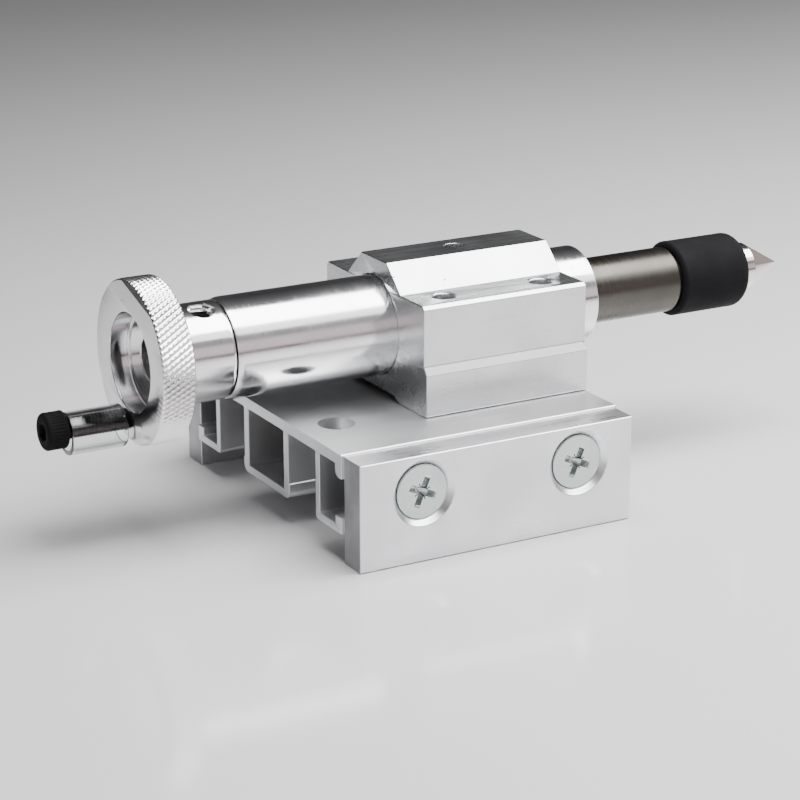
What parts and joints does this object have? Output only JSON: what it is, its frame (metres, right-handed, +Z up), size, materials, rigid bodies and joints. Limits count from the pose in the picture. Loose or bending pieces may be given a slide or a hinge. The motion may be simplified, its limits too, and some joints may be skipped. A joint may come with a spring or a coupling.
{
  "type": "lathe tailstock",
  "caption": "Small lathe tailstock: a knurled handwheel and lead screw drive a keyed quill with a revolving 60 degree centre; the base straddles the bed.",
  "frame": {"origin": "middle of the base extrusion's underside, the face that sits on the lathe bed", "axes": "+X along the quill, out of the nose towards the work; +Z up from the bed; -Y is the side of the near plate"},
  "size_m": [0.1595, 0.072, 0.0487],
  "materials": {
    "anodised_extrusion": "satin clear anodised extrusion",
    "milled_plate": "milled, with sawn ends",
    "anodised_block": "satin clear anodised",
    "polished_aluminium": "polished",
    "turned_aluminium": "turned, rim diamond knurled",
    "ground_steel": "ground",
    "bearing_steel": "polished",
    "nickel_plate": "nickel plated, polished",
    "zinc_screw": "bright zinc plated",
    "black_oxide": "black oxide",
    "clear_plastic": "clear"
  },
  "bodies": {
    "base": {"deck_profile": "anodised_extrusion", "near_side_plate": "milled_plate", "far_side_plate": "milled_plate", "near_plate_screws": "zinc_screw", "far_plate_screws": "zinc_screw", "near_slot_nuts": "zinc_screw", "far_slot_nuts": "zinc_screw", "bearing_block": "anodised_block", "block_screws": "black_oxide", "barrel": "polished_aluminium", "key_screw": "black_oxide"},
    "wheel": {"handwheel": "turned_aluminium", "hub_grub_screw": "black_oxide", "lead_screw": "ground_steel", "crank_screw": "black_oxide"},
    "sleeve": {"crank_sleeve": "clear_plastic"},
    "quill": {"quill": "ground_steel", "nose_nut": "black_oxide", "bearing_outer_ring": "bearing_steel"},
    "center": {"center_point": "nickel_plate", "bearing_inner_ring": "bearing_steel"}
  },
  "joints": [
    {"name": "handwheel_spin", "type": "hinge", "parent": "base", "child": "wheel", "pos_m": [-0.0558, 0, 0.028], "axis": [1, 0, 0], "range_deg": [-6050, 3746]},
    {"name": "quill_slide", "type": "slide", "parent": "base", "child": "quill", "axis": [1, 0, 0], "range_m": [-0.021, 0.013]},
    {"name": "sleeve_spin", "type": "hinge", "parent": "wheel", "child": "sleeve", "pos_m": [-0.0618, 0.00356, 0.01636], "axis": [1, 0, 0], "continuous": true},
    {"name": "center_spin", "type": "hinge", "parent": "quill", "child": "center", "pos_m": [0.0709, 0, 0.028], "axis": [1, 0, 0], "continuous": true}
  ],
  "couplings": [
    {"joint": "handwheel_spin", "follows": "quill_slide", "rad_per_m": 5026.5}
  ]
}
